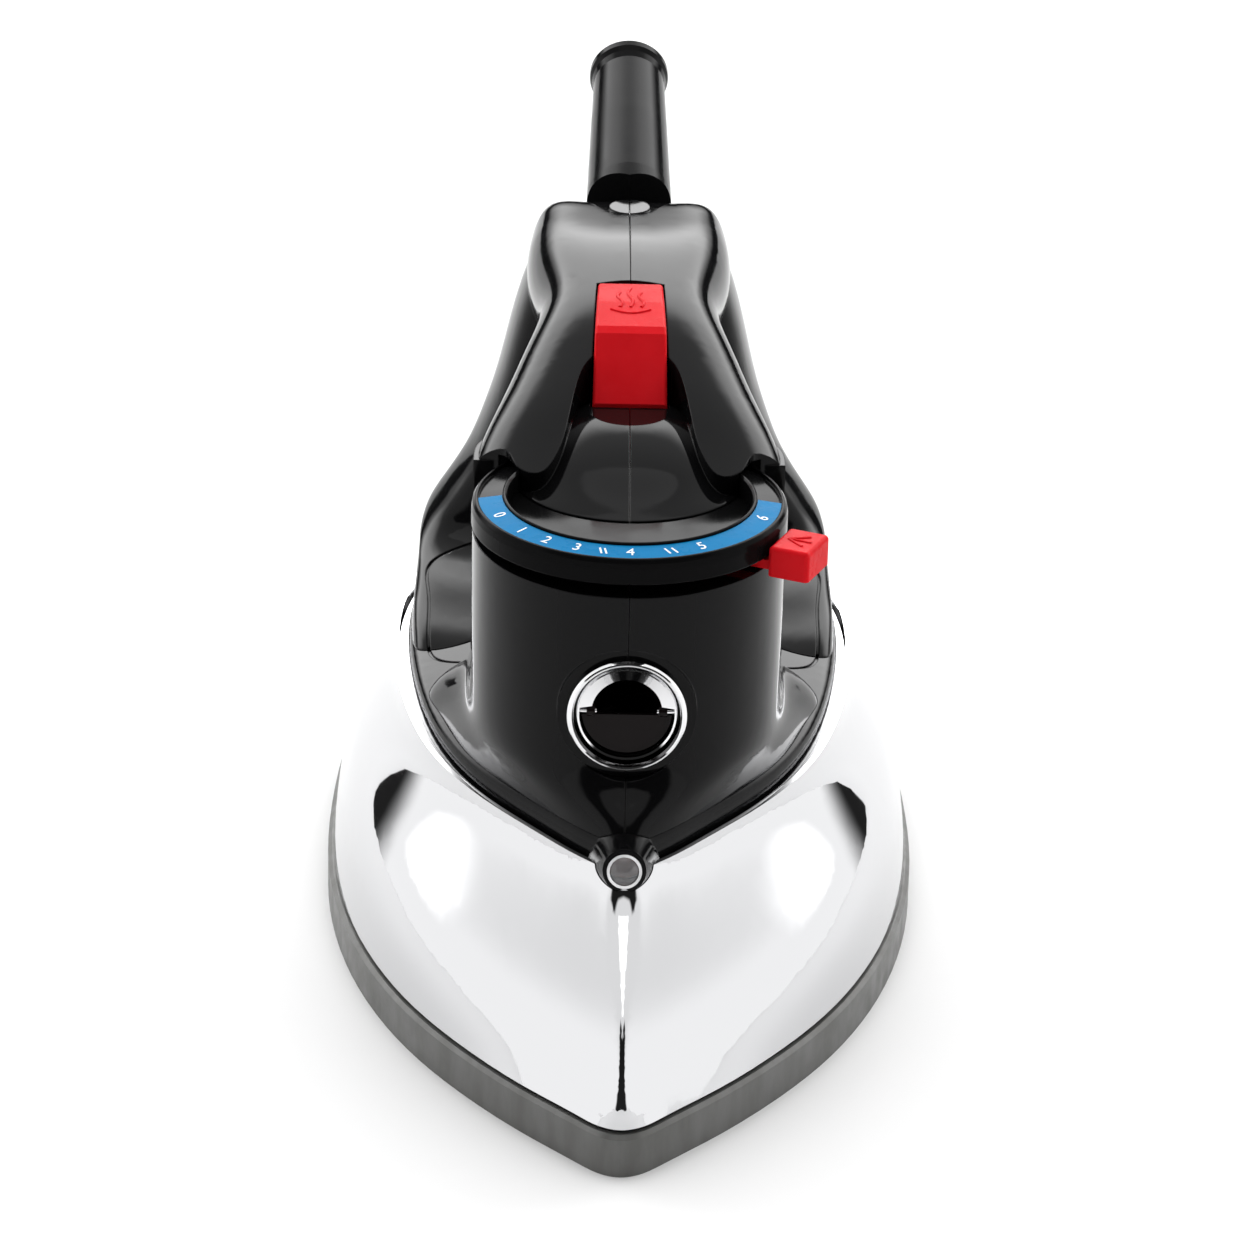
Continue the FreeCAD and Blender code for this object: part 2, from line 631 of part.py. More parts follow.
def make_lever():
    low = SLOT_BASE + 0.6
    hub = Part.makeCylinder(8, LEVER_THICKNESS, V(0, DIAL_Y, low))
    arm = box((-4, DIAL_Y - 33, low), (4, DIAL_Y, low + LEVER_THICKNESS))
    tab = box((-TAB_HALF, DIAL_Y - TAB_OUTER, TAB_LOW), (TAB_HALF, DIAL_Y - TAB_INNER, TAB_TOP))
    tab = tab.makeFillet(0.9, [edge for edge in tab.Edges if edge.BoundBox.ZMax > TAB_LOW + 1])
    lever = fused([hub, arm, tab])
    lever = lever.cut(Part.makeCylinder(SHAFT_RADIUS, 10, V(0, DIAL_Y, low - 1)))
    lever.rotate(V(0, DIAL_Y, 0), UP, LEVER_ANGLE)
    export("temp_lever", lever)


# ---- steam button and valve rod ------------------------------------------------------------------
def make_button():
    side = [(BUTTON_BACK, 117), (BUTTON_BACK, 121.6), (BUTTON_BACK - 1.2, 122.6), (30, 122.2),
            (19.6, 121), (17.6, 120.2), (7.8, 109.2), (7.8, BUTTON_LOW), (12, BUTTON_LOW), (19, 113)]
    face = Part.Face(polygon_wire([(-20, y, z) for y, z in side]))
    cap = face.extrude(V(40, 0, 0)).common(button_room(0))
    corners = [edge for edge in cap.Edges if edge.BoundBox.YMin > BUTTON_BACK - 0.1
               and edge.BoundBox.ZLength > 3]
    cap = cap.makeFillet(1.6, corners)
    upper = [edge for edge in cap.Edges if edge.BoundBox.ZMin > 108.9 and edge.BoundBox.YLength > 1
             and edge.BoundBox.XLength < 1.5]
    cap = cap.makeFillet(0.7, upper)
    leg = box((-3, ROD_Y - 3, BUTTON_LOW - 2.2), (3, 12.5, BUTTON_LOW + 0.6))
    button = fused([cap, leg])
    button = button.cut(rod(1.5, (0, ROD_Y, 90), (0, ROD_Y, 103.5)))
    export("steam_button", button)
    stem = rod(1.5, (0, ROD_Y, TANK_BASE + 7.4), (0, ROD_Y, 103.5))
    needle = Part.makeCone(0.6, 1.5, 3, V(0, ROD_Y, TANK_BASE + 4.7))
    collar = rod(4.2, (0, ROD_Y, COLLAR_BASE), (0, ROD_Y, COLLAR_BASE + 1.5))
    export("valve_rod", fused([stem, needle, collar]))


def make_spring():
    low, high, turns, radius, wire = BRACKET_TOP + 0.5, COLLAR_BASE - 0.5, 6, 3.0, 0.45
    helix = Part.makeHelix((high - low) / turns, high - low, radius)
    section = Part.Wire([Part.makeCircle(wire, V(radius, 0, 0), V(0, 1, 0))])
    coil = Part.Wire(helix.Edges).makePipeShell([section], True, False)
    coil.translate(V(0, ROD_Y, low))
    export("button_spring", coil)


# ---- cord guard at the back of the grip -------------------------------------------------------------
# outside of the guard: (distance from the pivot, radius)
GUARD_PROFILE = [(7, 0), (7, 8.9), (17.6, 8.9), (42, 8.3), (64, 7.7), (66, 8.0), (67.4, 8.5),
                 (69.2, 8.5), (70, 7.9), (70, 0)]
TONGUE_HALF = 5.5
# the root of the guard is cut to a shallow wedge, so that it swings clear of the grip
ROOT_CLEARANCE = 10.4
ROOT_SLOPE = 0.48


def make_guard():
    pivot = GUARD_PIVOT
    face = Part.Face(polygon_wire([(r, pivot.y + d, pivot.z) for d, r in GUARD_PROFILE]))
    body = face.revolve(pivot, V(0, 1, 0), 360)
    body.rotate(pivot, V(1, 0, 0), GUARD_TILT)
    reach = 12
    wedge = [(0, pivot.y + ROOT_CLEARANCE, 90), (reach, pivot.y + ROOT_CLEARANCE + reach * ROOT_SLOPE, 90),
             (reach, pivot.y, 90), (-reach, pivot.y, 90),
             (-reach, pivot.y + ROOT_CLEARANCE + reach * ROOT_SLOPE, 90)]
    body = body.cut(Part.Face(polygon_wire(wedge)).extrude(V(0, 0, 60)))
    tongue = box((-TONGUE_HALF, pivot.y, pivot.z - 3.5), (TONGUE_HALF, pivot.y + 14.6, pivot.z + 3.2))
    tongue = tongue.fuse(rod(TONGUE_HALF, (0, pivot.y, pivot.z - 3.5), (0, pivot.y, pivot.z + 3.2)))
    body = body.fuse(tongue)
    cuts = [rod(GUARD_MOUTH_RADIUS, path_point(20), path_point(80)),
            rod(2.6, path_point(4), path_point(24)),
            box((-2.6, pivot.y + 3, pivot.z - 6), (2.6, pivot.y + 7.5, pivot.z + 6)),
            rod(1.55, (0, pivot.y, pivot.z - 8), (0, pivot.y, pivot.z + 8))]
    export("cord_guard", carved(body, cuts))
    export("guard_pin", rod(1.5, (0, pivot.y, pivot.z - 7), (0, pivot.y, pivot.z + 6.5)))


# ---- fill opening -----------------------------------------------------------------------------------
FLAP_AXIS_Y = -52.4
FLAP_RADIUS = 8.5


def fill_ring(profile):
    """Ring turned about the axis of the fill opening from (radius, y) points."""
    z = FILL_HEIGHT
    face = Part.Face(polygon_wire([(r, y, z) for r, y in profile]))
    return face.revolve(V(0, 0, z), V(0, 1, 0), 360)


def make_fill_parts():
    z = FILL_HEIGHT
    front = LAND_Y - 1.9
    bezel = fill_ring([(11.3, LAND_Y), (11.3, front + 0.6), (11.0, front + 0.1), (10.7, front),
                       (10.4, front + 0.1), (10.1, front + 0.7), (9.95, -51.8), (10.55, -51.8),
                       (10.55, LAND_Y)])
    export("fill_bezel", bezel)
    band = fill_ring([(9.1, -54.1), (6.7, -53.2), (6.5, -52.8), (9.1, -53.4)])
    band = band.cut(box((-20, -70, z - 30), (20, 0, z + 1.2)))
    edge = fill_ring([(9.6, -54), (9.35, -54.3), (9.0, -54.1), (9.0, -53.25), (9.6, -53.25)])
    export("fill_funnel", band.fuse(edge))
    cup = fill_cylinder(9.6, -53.2, -38.2)
    pipe = rod(FILL_PIPE_RADIUS, (0, FILL_FOOT.y, z - 5), (0, FILL_FOOT.y, TANK_TOP - TANK_WALL))
    tube_body = cup.fuse(pipe)
    tube_body = carved(tube_body, [fill_cylinder(9.05, -60, -39.2),
                                   rod(FILL_PIPE_RADIUS - 1.1, (0, FILL_FOOT.y, z - 3),
                                       (0, FILL_FOOT.y, 30))])
    export("fill_tube", tube_body)
    disc = fill_cylinder(FLAP_RADIUS, FLAP_AXIS_Y - 0.5, FLAP_AXIS_Y + 0.5)
    disc = disc.cut(box((-20, -60, z - 0.6), (20, -40, z + 20)))
    knuckles = [rod(1.1, (x, FLAP_AXIS_Y, z), (x + 1.6, FLAP_AXIS_Y, z)) for x in (-7.6, 6.0)]
    webs = [box((x, FLAP_AXIS_Y - 0.5, z - 1.6), (x + 1.6, FLAP_AXIS_Y + 0.5, z)) for x in (-7.6, 6.0)]
    flap = disc.fuse(knuckles + webs)
    flap = flap.cut(rod(0.55, (-20, FLAP_AXIS_Y, z), (20, FLAP_AXIS_Y, z)))
    export("fill_flap", flap)
    pins = [rod(0.5, (x, FLAP_AXIS_Y, z), (x + 3.3, FLAP_AXIS_Y, z)) for x in (-9, 5.7)]
    export("flap_pins", group(pins))


# ---- frame, fasteners and wiring ------------------------------------------------------------------
BRACKET_BASE = 40.2
BRACKET_TOP = 41.7
COLLAR_BASE = 56.0


def make_frame():
    plate = slab(inset(RIM_OUTLINE, 10), BRACKET_BASE, BRACKET_TOP)
    riser = box((-9, 83, BRACKET_TOP), (9, 84.5, 74)).fuse(
        box((-9, 78, BRACKET_TOP), (9, 84.5, BRACKET_TOP + 1.5)))
    export("terminal_bracket", riser.cut(box((-7.5, 77, BRACKET_TOP + 1.5), (7.5, 86, 53))))
    holes = stud_holes(2.6, 38, 45) + [rod(2.1, (x, y, 38), (x, y, 45)) for x, y in POST_PLACES]
    holes += [rod(2.0, (0, ROD_Y, 38), (0, ROD_Y, 45)), rod(4, (0, DIAL_Y, 38), (0, DIAL_Y, 45)),
              rod(FILL_PIPE_RADIUS + 0.4, (0, FILL_FOOT.y, 38), (0, FILL_FOOT.y, 45)),
              box((-8, 58, 38), (8, 66, 45))]
    export("body_bracket", plate.cut(group(holes)))
    studs = stud_holes(2.48, 4, BRACKET_TOP + 4)
    export("sole_studs", group(studs))
    nuts = []
    for x, y in STUD_PLACES:
        corners = [(x + 4.4 * math.cos(math.radians(a)), y + 4.4 * math.sin(math.radians(a)),
                    BRACKET_TOP) for a in range(0, 360, 60)]
        nut = Part.Face(polygon_wire(corners)).extrude(V(0, 0, 3))
        nuts.append(nut.cut(rod(2.5, (x, y, BRACKET_TOP - 1), (x, y, BRACKET_TOP + 5))))
    export("stud_nuts", group(nuts))
    screws = []
    for x, y in POST_PLACES:
        head = rod(3.6, (x, y, BRACKET_BASE - 2), (x, y, BRACKET_BASE))
        screws.append(head.fuse(rod(1.95, (x, y, BRACKET_BASE - 2), (x, y, 61))))
    export("handle_screws", group(screws))


HEEL_FACE = 95.6
HEEL_OUTLINE = [(49, 0), (49, 8), (50.5, 14.5), (56, 17.2), (78, 17.2), (99, 17), (104.8, 14.5),
                (106.5, 8), (106.5, 0)]


def make_heel():
    wire = both_sides(section_curve(HEEL_OUTLINE, on_station(90), chord_knots(HEEL_OUTLINE)))
    plate = Part.Face(wire).extrude(V(0, HEEL_FACE - 90, 0))
    cuts = [leg_volume(0, 40, 111.9)]
    cuts += [rod(1.7, (x, 85, z), (x, 99, z)) for x, z in HEEL_SCREWS]
    cuts += [rod(3.1, (x, HEEL_FACE - 1.2, z), (x, 99, z)) for x, z in HEEL_SCREWS]
    plate = carved(plate, cuts)
    export("heel_plate", max(plate.Solids, key=lambda piece: piece.Volume))
    screws = []
    for x, z in HEEL_SCREWS:
        head = rod(2.9, (x, HEEL_FACE - 1.2, z), (x, HEEL_FACE - 0.3, z))
        head = head.cut(box((x - 2.2, HEEL_FACE - 0.8, z - 0.35), (x + 2.2, 99, z + 0.35)))
        head = head.cut(box((x - 0.35, HEEL_FACE - 0.8, z - 2.2), (x + 0.35, 99, z + 2.2)))
        screws.append(head.fuse(rod(1.45, (x, 87, z), (x, HEEL_FACE - 1.2, z))))
    export("heel_screws", group(screws))


def lead(radius, points):
    """Insulated wire along straight runs with rounded corners."""
    shapes = [rod(radius, a, b) for a, b in zip(points, points[1:])]
    shapes += [Part.makeSphere(radius, V(*p)) for p in points[1:-1]]
    return fused(shapes)


def make_wiring():
    block = box((-8.5, 84.5, 62), (8.5, 89.5, 72))
    block = block.cut(group([rod(1.6, (x, 80, 67), (x, 95, 67)) for x in (-5.5, 0, 5.5)]))
    export("terminal_block", block)
    low = SOLE_HEIGHT + STEAM_PLATE
    export("thermal_fuse", rod(1.6, (14, 40, low + 1.6), (14, 52, low + 1.6)))
    fuse_end = (14, 53.4, low + 1.6)
    blade_end = (8, DIAL_Y + 13.4, low + 2.8)
    leads = [lead(1.1, [(5.5, 87, 61.7), (5.5, 87, 48), (5.5, 62, 44), (5.5, 62, 12), fuse_end]),
             lead(1.1, [(14, 39.8, low + 1.6), (14, 20, low + 1.6), (14, -8, low + 2.8), blade_end]),
             lead(1.1, [(-5.5, 87, 61.7), (-5.5, 87, 48), (-5.5, 62, 44), (-5.5, 62, 12.5),
                        (-40, 76, 12.6)]),
             lead(1.1, [(-5.5, 87.4, 72.3), (-5.5, 87.4, 102)]),
             lead(1.1, [(5.5, 87.4, 72.3), (5.5, 87.4, 102)])]
    export("internal_leads", group(leads))


def main():
    export("soleplate", make_soleplate())
    export("heating_element", element_solid(ELEMENT_RADIUS))
    export("chrome_shell", make_chrome_shell())
    export("shell_gasket", make_shell_gasket())
    export("steam_chamber_cover", make_steam_chamber_cover())
    export("heat_shield", make_heat_shield())
    export("water_tank", make_water_tank())
    export("valve_body", make_valve_body())
    export("rod_seal", make_rod_seal())
    make_thermostat()
    export("skirt", make_skirt())
    make_pilot()
    make_handle()
    make_dial()
    make_lever()
    make_button()
    make_spring()
    make_guard()
    make_fill_parts()
    make_frame()
    make_heel()
    make_wiring()


if __name__ == "__main__":
    main()
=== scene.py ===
"""Looks of the steam iron: materials, printed marks, floor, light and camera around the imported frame."""
import json
import math

import bpy
import bmesh
from mathutils import Matrix, Vector


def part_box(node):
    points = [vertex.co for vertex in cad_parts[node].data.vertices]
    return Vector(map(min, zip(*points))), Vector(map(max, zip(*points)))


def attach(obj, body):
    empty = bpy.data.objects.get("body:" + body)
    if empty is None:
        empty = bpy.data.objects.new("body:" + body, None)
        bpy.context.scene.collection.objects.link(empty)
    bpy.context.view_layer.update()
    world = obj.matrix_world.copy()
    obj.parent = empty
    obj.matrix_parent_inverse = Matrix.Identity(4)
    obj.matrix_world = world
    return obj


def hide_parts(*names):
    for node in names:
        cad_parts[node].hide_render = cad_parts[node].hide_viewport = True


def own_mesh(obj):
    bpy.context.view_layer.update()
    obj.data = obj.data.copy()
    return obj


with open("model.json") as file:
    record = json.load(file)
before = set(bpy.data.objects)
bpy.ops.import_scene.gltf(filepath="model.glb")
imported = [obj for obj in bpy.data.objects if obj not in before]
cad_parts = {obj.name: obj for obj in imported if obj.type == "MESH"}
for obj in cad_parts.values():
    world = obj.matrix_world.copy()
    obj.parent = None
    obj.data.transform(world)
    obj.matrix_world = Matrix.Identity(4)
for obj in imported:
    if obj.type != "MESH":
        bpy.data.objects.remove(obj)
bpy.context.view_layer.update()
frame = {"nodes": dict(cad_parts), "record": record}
NODES = frame["nodes"]
MM = 0.001


def new_object(name, data):
    made = bpy.data.objects.new(name, data)
    bpy.context.scene.collection.objects.link(made)
    return made


# ---- camera ---------------------------------------------------------------------------------------
CAMERA_DISTANCE = 1.1015          # from the lens to the point it looks at
CAMERA_PITCH = math.radians(24)   # below the horizontal
CAMERA_AZIMUTH = math.radians(-0.774)
CAMERA_ROLL = math.radians(1.347)
CAMERA_TARGET = Vector((0.0007, 0.0252, 0.0537))
LENS_MM = 156.0
SENSOR_MM = 36
CAMERA_REACH = (0.05, 30)         # nearest and farthest seen


def make_camera():
    data = bpy.data.cameras.new("camera")
    data.lens = LENS_MM
    data.sensor_width = SENSOR_MM
    data.clip_start, data.clip_end = CAMERA_REACH
    camera = new_object("camera", data)
    flat = math.cos(CAMERA_PITCH)
    away = Vector((math.sin(CAMERA_AZIMUTH) * flat, -math.cos(CAMERA_AZIMUTH) * flat,
                   math.sin(CAMERA_PITCH)))
    place = Matrix.Translation(CAMERA_TARGET + away * CAMERA_DISTANCE)
    turn = (-away).to_track_quat("-Z", "Y").to_matrix().to_4x4()
    camera.matrix_world = place @ turn @ Matrix.Rotation(CAMERA_ROLL, 4, "Z")
    bpy.context.scene.camera = camera


# ---- materials ------------------------------------------------------------------------------------
NOISE_SPAN = (0.35, 0.65)   # values of the noise between which a finish changes
BEVEL_SAMPLES = 4


class Finish:
    """Principled material; sockets sets more of the shader's own inputs by name."""

    def __init__(self, name, color, roughness, metallic=0.0, **sockets):
        self.material = bpy.data.materials.new(name)
        self.material.use_nodes = True
        tree = self.material.node_tree
        self.nodes, self.links = tree.nodes, tree.links
        self.inputs = self.nodes["Principled BSDF"].inputs
        self.inputs["Base Color"].default_value = (*color, 1)
        self.inputs["Roughness"].default_value = roughness
        self.inputs["Metallic"].default_value = metallic
        for key, value in sockets.items():
            self.inputs[key.replace("_", " ")].default_value = value

    def noise(self, scale, stretch=(1, 1, 1)):
        coords = self.nodes.new("ShaderNodeTexCoord")
        mapping = self.nodes.new("ShaderNodeMapping")
        mapping.inputs["Scale"].default_value = stretch
        self.links.new(coords.outputs["Object"], mapping.inputs["Vector"])
        texture = self.nodes.new("ShaderNodeTexNoise")
        texture.inputs["Scale"].default_value = scale
        texture.inputs["Detail"].default_value = 3.0
        self.links.new(mapping.outputs["Vector"], texture.inputs["Vector"])
        return texture.outputs["Fac"]

    def vary_roughness(self, scale, low, high, stretch=(1, 1, 1)):
        spread = self.nodes.new("ShaderNodeMapRange")
        spread.inputs["From Min"].default_value, spread.inputs["From Max"].default_value = NOISE_SPAN
        spread.inputs["To Min"].default_value = low
        spread.inputs["To Max"].default_value = high
        self.links.new(self.noise(scale, stretch), spread.inputs["Value"])
        self.links.new(spread.outputs["Result"], self.inputs["Roughness"])
        return self

    def vary_color(self, scale, first, second, stretch=(1, 1, 1)):
        ramp = self.nodes.new("ShaderNodeValToRGB")
        for stop, position, color in zip(ramp.color_ramp.elements, NOISE_SPAN, (first, second)):
            stop.position = position
            stop.color = (*color, 1)
        self.links.new(self.noise(scale, stretch), ramp.inputs["Fac"])
        self.links.new(ramp.outputs["Color"], self.inputs["Base Color"])
        return self

    def add_bump(self, scale, distance, strength, edge=0.0):
        """Fine surface relief; edge gives the radius of rounded corners in the shading."""
        bump = self.nodes.new("ShaderNodeBump")
        bump.inputs["Strength"].default_value = strength
        bump.inputs["Distance"].default_value = distance
        self.links.new(self.noise(scale), bump.inputs["Height"])
        if edge:
            bevel = self.nodes.new("ShaderNodeBevel")
            bevel.samples = BEVEL_SAMPLES
            bevel.inputs["Radius"].default_value = edge
            self.links.new(bevel.outputs["Normal"], bump.inputs["Normal"])
        self.links.new(bump.outputs["Normal"], self.inputs["Normal"])
        return self


def metal_finishes():
    return {
        "chrome_body": Finish("polished_chrome", (0.59, 0.592, 0.602), 0.03, 1.0)
        .vary_roughness(55, 0.015, 0.05).add_bump(30, 0.00003, 0.35),
        "chrome_trim": Finish("chrome_trim", (0.8, 0.8, 0.81), 0.05, 1.0)
        .vary_roughness(160, 0.03, 0.08),
        "sole": Finish("coated_sole", (0.13, 0.13, 0.127), 0.42, 0.35, IOR=1.45)
        .vary_color(240, (0.118, 0.118, 0.112), (0.15, 0.15, 0.146), (1, 1, 0.25))
        .vary_roughness(180, 0.36, 0.5).add_bump(900, 0.00003, 0.4),
        "steel": Finish("bright_steel", (0.6, 0.6, 0.61), 0.28, 1.0)
        .vary_roughness(200, 0.2, 0.4, (1, 8, 1)),
        "brass_fitting": Finish("turned_brass", (0.75, 0.56, 0.25), 0.3, 1.0)
        .vary_roughness(300, 0.22, 0.38),
        "element_sheath": Finish("element_sheath", (0.32, 0.29, 0.26), 0.5, 0.9)
        .vary_color(200, (0.3, 0.27, 0.24), (0.4, 0.36, 0.31)),
    }


def moulded_finishes():
    """Plastics and rubber; the black ones reflect little, as deep black mouldings do."""
    return {
        "black_gloss": Finish("black_gloss_moulding", (0.0035, 0.0035, 0.0038), 0.08, IOR=1.5,
                              Specular_IOR_Level=0.11)
        .vary_roughness(90, 0.05, 0.1).add_bump(260, 0.00001, 0.2, edge=0.4 * MM),
        "black_satin": Finish("black_satin_moulding", (0.004, 0.004, 0.0042), 0.14, IOR=1.5,
                              Specular_IOR_Level=0.03)
        .vary_roughness(120, 0.1, 0.18).add_bump(300, 0.00001, 0.2, edge=0.4 * MM),
        "black_guard": Finish("black_guard_moulding", (0.005, 0.005, 0.0053), 0.16, IOR=1.5,
                              Specular_IOR_Level=0.03)
        .vary_roughness(120, 0.12, 0.2).add_bump(400, 0.00002, 0.3),
        "blue_scale": Finish("blue_scale", (0.002, 0.175, 0.4), 0.3, IOR=1.45,
                             Specular_IOR_Level=0.02)
        .vary_color(300, (0.002, 0.168, 0.385), (0.003, 0.182, 0.415))
        .vary_roughness(300, 0.24, 0.36),
        "red_plastic": Finish("red_moulding", (0.64, 0.008, 0.014), 0.26, IOR=1.47,
                              Specular_IOR_Level=0.025, Subsurface_Weight=0.04,
                              Subsurface_Scale=0.002)
        .vary_color(120, (0.62, 0.007, 0.012), (0.67, 0.01, 0.016))
        .vary_roughness(220, 0.2, 0.32).add_bump(700, 0.00002, 0.3),
        "dark_flap": Finish("smoked_flap", (0.006, 0.004, 0.004), 0.06, IOR=1.5,
                            Specular_IOR_Level=0.1)
        .vary_roughness(200, 0.04, 0.09),
        "dark_tube": Finish("dark_tube", (0.008, 0.008, 0.008), 0.2, IOR=1.5)
        .vary_roughness(150, 0.15, 0.28),
        "seal": Finish("black_seal", (0.006, 0.006, 0.006), 0.7).add_bump(800, 0.00005, 0.5),
        "tank": Finish("tank_resin", (0.7, 0.73, 0.75), 0.35).vary_roughness(120, 0.28, 0.45),
        "lead_insulation": Finish("lead_sleeve", (0.75, 0.74, 0.7), 0.6)
        .add_bump(1500, 0.00005, 0.5),
    }


def other_finishes():
    return {
        "clear_lens": Finish("clear_lens", (0.9, 0.9, 0.92), 0.05, IOR=1.49,
                             Transmission_Weight=0.85)
        .vary_roughness(300, 0.03, 0.08),
        "neon_glass": Finish("neon_bulb", (0.9, 0.5, 0.35), 0.08, Transmission_Weight=0.6)
        .vary_roughness(400, 0.05, 0.12),
        "ceramic_block": Finish("pressed_ceramic", (0.8, 0.77, 0.7), 0.65)
        .vary_color(400, (0.75, 0.72, 0.66), (0.84, 0.82, 0.76)).add_bump(900, 0.00008, 0.5),
        "white_print": Finish("white_print", (0.85, 0.86, 0.86), 0.4)
        .vary_roughness(500, 0.35, 0.5),
    }


def make_materials():
    finishes = {**metal_finishes(), **moulded_finishes(), **other_finishes()}
    return {slot: finish.material for slot, finish in finishes.items()}


def dress_cad_nodes(materials):
    slots = {item["node"]: item["material_slot"] for item in frame["record"]["subparts"]}
    slots["dial_housing"] = "black_satin"
    for name, node in NODES.items():
        node.data.materials.clear()
        node.data.materials.append(materials[slots[name]])


# ---- meshes of the added pieces -------------------------------------------------------------------
def finish_piece(name, data, body, material, smooth=True):
    for polygon in data.polygons:
        polygon.use_smooth = smooth
    piece = new_object(name, data)
    data.materials.clear()
    data.materials.append(material)
    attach(piece, body)
    return piece


def mesh_from(curve):
    """Mesh of a curve or a text, which is then removed."""
    holder = new_object(curve.name, curve)
    bpy.context.view_layer.update()
    data = bpy.data.meshes.new_from_object(holder)
    bpy.data.objects.remove(holder)
    bpy.data.curves.remove(curve)
    return data


def text_mesh(word, size, thickness):
    """Flat raised lettering in the plain built-in face, centred on the origin."""
    curve = bpy.data.curves.new("mark", "FONT")
    curve.body = word
    curve.size = size
    curve.extrude = thickness / 2
    curve.align_x = "CENTER"
    curve.align_y = "CENTER"
    return mesh_from(curve)


def tube_mesh(paths, radius):
    """Round lines through lists of points, as one mesh."""
    curve = bpy.data.curves.new("line", "CURVE")
    curve.dimensions = "3D"
    curve.bevel_depth = radius
    curve.bevel_resolution = 3
    curve.use_fill_caps = True
    for points in paths:
        spline = curve.splines.new("NURBS")
        spline.points.add(len(points) - 1)
        for slot, point in zip(spline.points, points):
            slot.co = (*point, 1)
        spline.order_u = 3
        spline.use_endpoint_u = True
    return mesh_from(curve)


# ---- marks on the scale ---------------------------------------------------------------------------
DIAL_AXIS = Vector((0, -0.025, 0))
SCALE_INNER = 24.4 * MM                # inner radius of the blue scale
SCALE_TILT = math.atan2(0.65, 4.5)     # the scale falls outwards
MARK_RADIUS = 26.7 * MM
MARK_THICKNESS = 0.06 * MM
NUMBER_SIZE = 3.36 * MM
BAR_WIDTH = 0.35 * MM
BAR_LENGTH = 2.0 * MM
BAR_SLANT = 0.35
# degrees round the dial from the front, towards the right
SCALE_NUMBERS = [(-68, "0"), (-50, "1"), (-36, "2"), (-22, "3"), (0, "4"), (30, "5"), (70, "6")]
SCALE_BARS = (-12, -10, 15, 18)


def dial_place(degrees):
    """Frame on the scale: x along it, y inwards, z out of it, at an angle from the front."""
    drop = (MARK_RADIUS - SCALE_INNER) * math.tan(SCALE_TILT)
    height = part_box("scale_plate")[1].z - drop + MARK_THICKNESS / 2
    turn = Matrix.Rotation(math.radians(degrees), 4, "Z")
    outwards = Matrix.Translation((0, -MARK_RADIUS, 0))
    tilt = Matrix.Rotation(SCALE_TILT, 4, "X")
    return Matrix.Translation(DIAL_AXIS + Vector((0, 0, height))) @ turn @ outwards @ tilt


def add_bar(mesh, place):
    """Small slanted bar with its edges cut back."""
    size = Matrix.Diagonal((BAR_WIDTH, BAR_LENGTH, MARK_THICKNESS, 1))
    slant = Matrix.Rotation(BAR_SLANT, 4, "Z")
    made = bmesh.ops.create_cube(mesh, size=1.0, matrix=place @ slant @ size)
    edges = list({edge for vertex in made["verts"] for edge in vertex.link_edges})
    bmesh.ops.bevel(mesh, geom=edges, offset=MARK_THICKNESS / 4, segments=2, affect="EDGES")


def make_scale_marks(material):
    """White numbers round the blue scale, with a pair of slanted bars on either side of the front."""
    mesh = bmesh.new()
    for degrees, word in SCALE_NUMBERS:
        number = text_mesh(word, NUMBER_SIZE, MARK_THICKNESS)
        number.transform(dial_place(degrees))
        mesh.from_mesh(number)
        bpy.data.meshes.remove(number)
    for degrees in SCALE_BARS:
        add_bar(mesh, dial_place(degrees))
    data = bpy.data.meshes.new("scale_marks")
    mesh.to_mesh(data)
    mesh.free()
    finish_piece("scale_marks", data, "body", material, smooth=False)


# ---- raised signs on the red pieces ---------------------------------------------------------------
LINE_SINK = 0.35                  # share of a line's radius that its middle lies below the surface
ABOVE_ALL = 0.5                   # height from which the surface is looked for
SIGN_STEPS = 8

STEAM_SIGN_NEAR = 25.2 * MM
STEAM_SIGN_LENGTH = 11.5 * MM
STEAM_LINE = 0.4 * MM
DISH_HEIGHT = 1.6 * MM
DISH_HALF = 3.9 * MM
DISH_GAP = 2.6 * MM               # from the bottom of the dish to the wisps
WISP_SWING = 0.55 * MM
WISPS = [(-2.1 * MM, 0.75), (0, 1.0), (2.1 * MM, 0.75)]   # place across, share of the length

LEVER_ANGLE = math.radians(66)
LEVER_SIGN_RADIUS = 35 * MM
LEVER_LINE = 0.38 * MM
# lines of the lever's sign in mm, across and inwards from the middle of its tab
POINTER = [[(0, 2.2), (-1.2, 0.4), (-2.4, -1.4)], [(0, 2.2), (1.2, 0.4), (2.4, -1.4)],
           [(0, 1.6), (0, 0), (0, -2.4)]]


def surface_height(name, x, y):
    """Height of a piece's top surface above a spot."""
    owner = NODES[name]
    to_local = owner.matrix_world.inverted()
    start = to_local @ Vector((x, y, ABOVE_ALL))
    place = owner.ray_cast(start, to_local.to_3x3() @ Vector((0, 0, -1)))[1]
    return (owner.matrix_world @ place).z


def raised_lines(name, paths, radius, owner, body, material):
    """Round lines laid along the top of a piece, each sunk a little way into it."""
    laid = [[(x, y, surface_height(owner, x, y) - radius * LINE_SINK) for x, y in path]
            for path in paths]
    finish_piece(name, tube_mesh(laid, radius), body, material)


